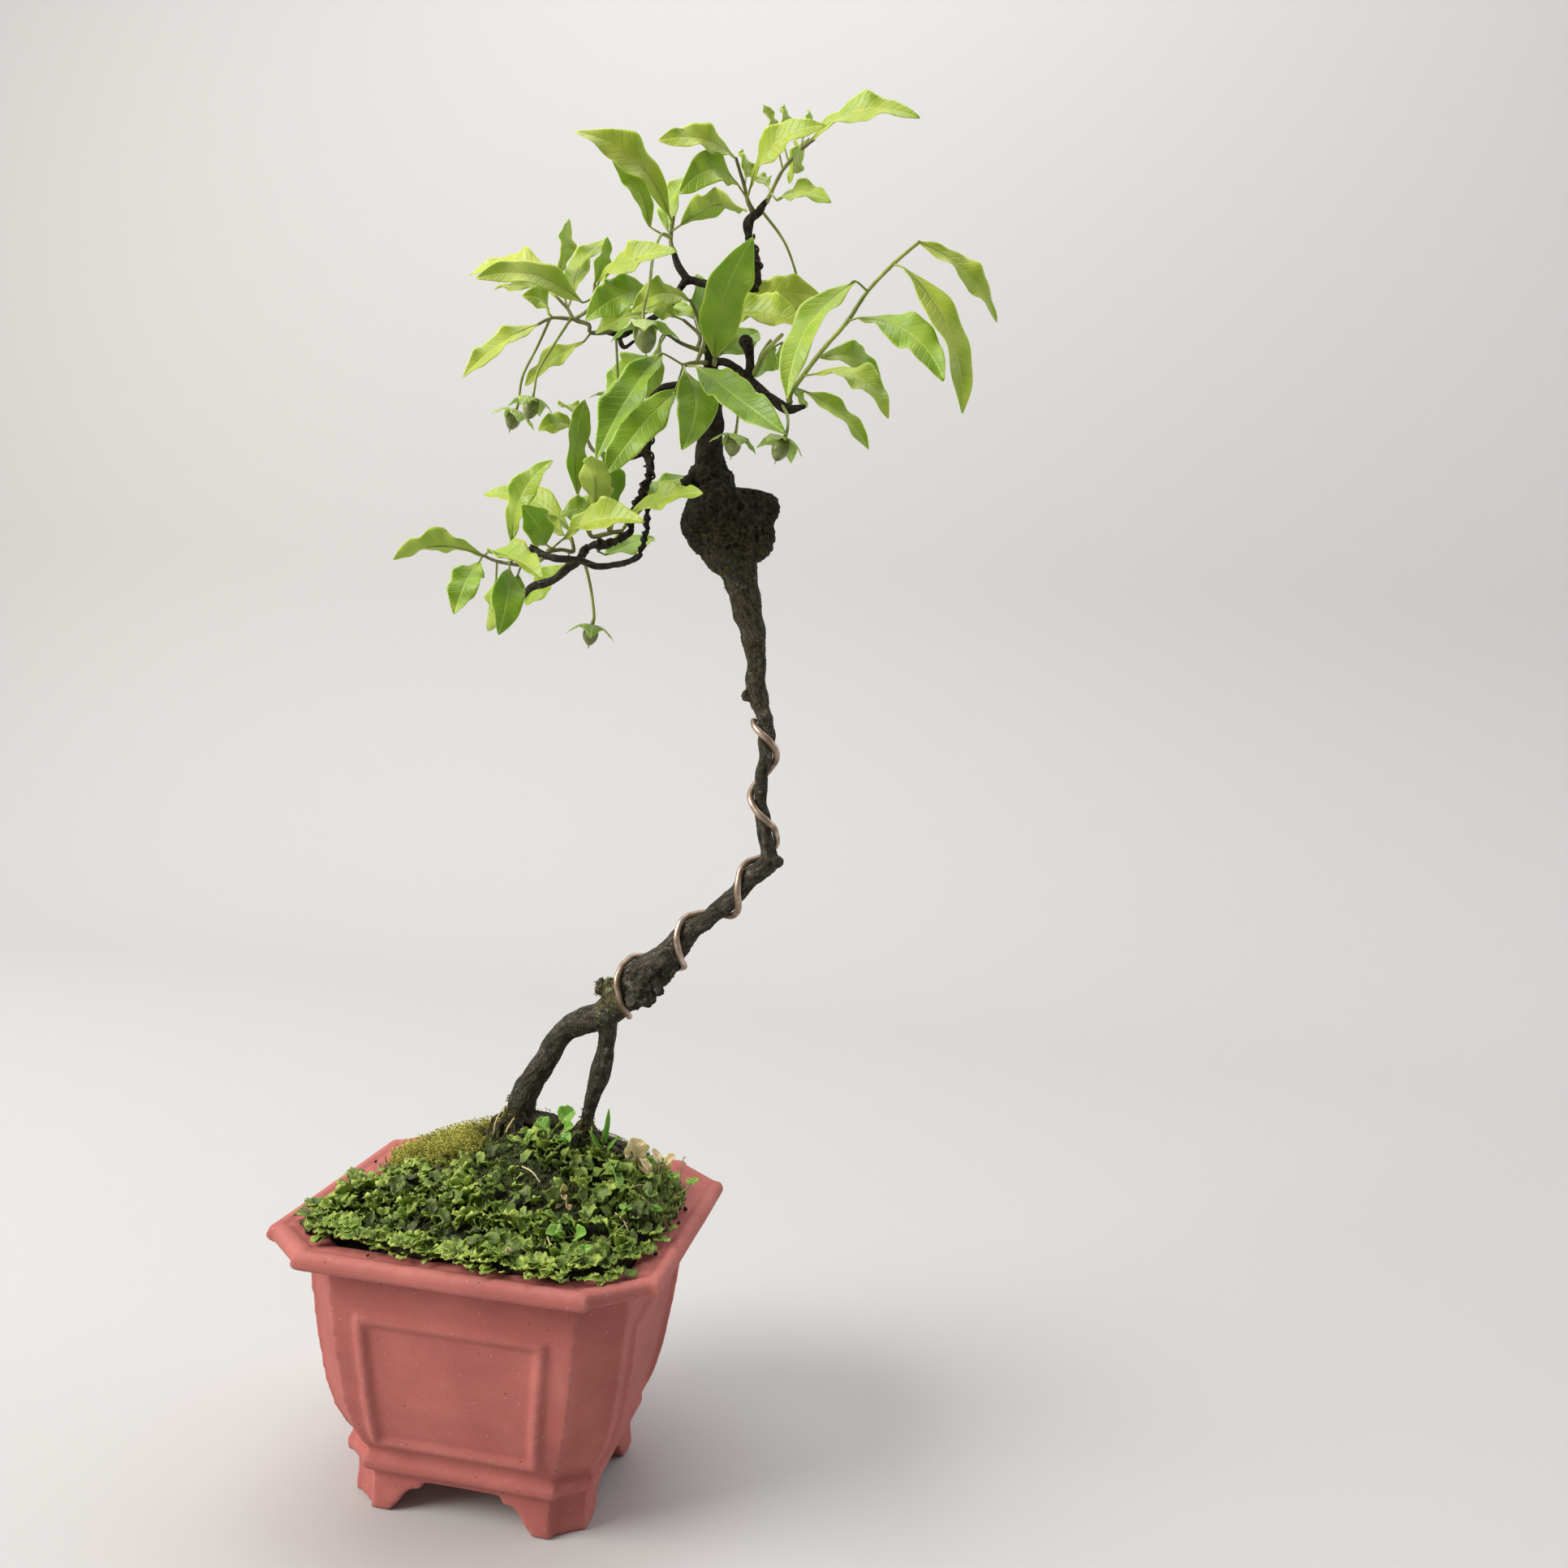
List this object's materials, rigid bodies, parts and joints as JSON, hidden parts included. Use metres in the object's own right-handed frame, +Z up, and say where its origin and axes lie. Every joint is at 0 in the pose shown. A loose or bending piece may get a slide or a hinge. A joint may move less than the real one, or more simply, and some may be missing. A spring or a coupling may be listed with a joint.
{
  "type": "potted bonsai tree",
  "caption": "Bonsai of diospyros armata with a long bare stem, leafy crown and hanging green fruits, in an unglazed rectangular clay pot on bracket feet.",
  "frame": {"origin": "middle of the whole tree's bounding box, at the bottom, on the surface that the pot's feet stand on", "axes": "+Z up, +X to the right along the pot's front, +Y to the back"},
  "size_m": [0.2572, 0.14, 0.5642],
  "materials": {
    "clay": "unglazed red clay, matt and dusty",
    "soil": "damp, granular",
    "screen": "moulded mesh",
    "bark": "dark, finely fissured bark",
    "wire": "copper-toned anodised",
    "dark_wire": "dull dark anodised",
    "leaf": "semi-gloss leaf skin with fine veins",
    "fruit": "matt, faintly downy green skin",
    "herb": "thin fresh leaf",
    "liverwort": "moist, smooth and lobed",
    "moss": "feathery, matt",
    "straw": "dry, matt"
  },
  "bodies": {
    "root": {"broad_blade": "herb", "bud_sprig": "straw", "dead_leaf": "straw", "drain_screen_1": "screen", "drain_screen_2": "screen", "fruit_far_left": "fruit", "fruit_far_right": "fruit", "fruit_front": "fruit", "fruit_inner_left": "fruit", "fruit_left": "fruit", "fruit_low": "fruit", "fruit_right": "fruit", "fruit_top_right": "fruit", "grass_blade": "herb", "leaf_centre": "leaf", "leaf_right_back": "leaf", "leaf_right_high": "leaf", "leaf_right_middle": "leaf", "liverwort": "liverwort", "moss_cushion": "moss", "pot": "clay", "shoot_crown": "leaf", "shoot_crown_left": "leaf", "shoot_crown_right": "leaf", "shoot_knot": "leaf", "shoot_left_fork": "leaf", "shoot_left_low": "leaf", "shoot_left_pair": "leaf", "shoot_left_stub": "leaf", "shoot_left_top": "leaf", "shoot_middle": "leaf", "shoot_right_long": "leaf", "shoot_right_young": "leaf", "shoot_spur": "leaf", "soil": "soil", "sorrel_back": "herb", "sorrel_front": "herb", "straw_sprig": "straw", "training_wire": "wire", "trunk": "bark", "wire_branch": "dark_wire", "wire_top": "dark_wire"}
  },
  "joints": []
}
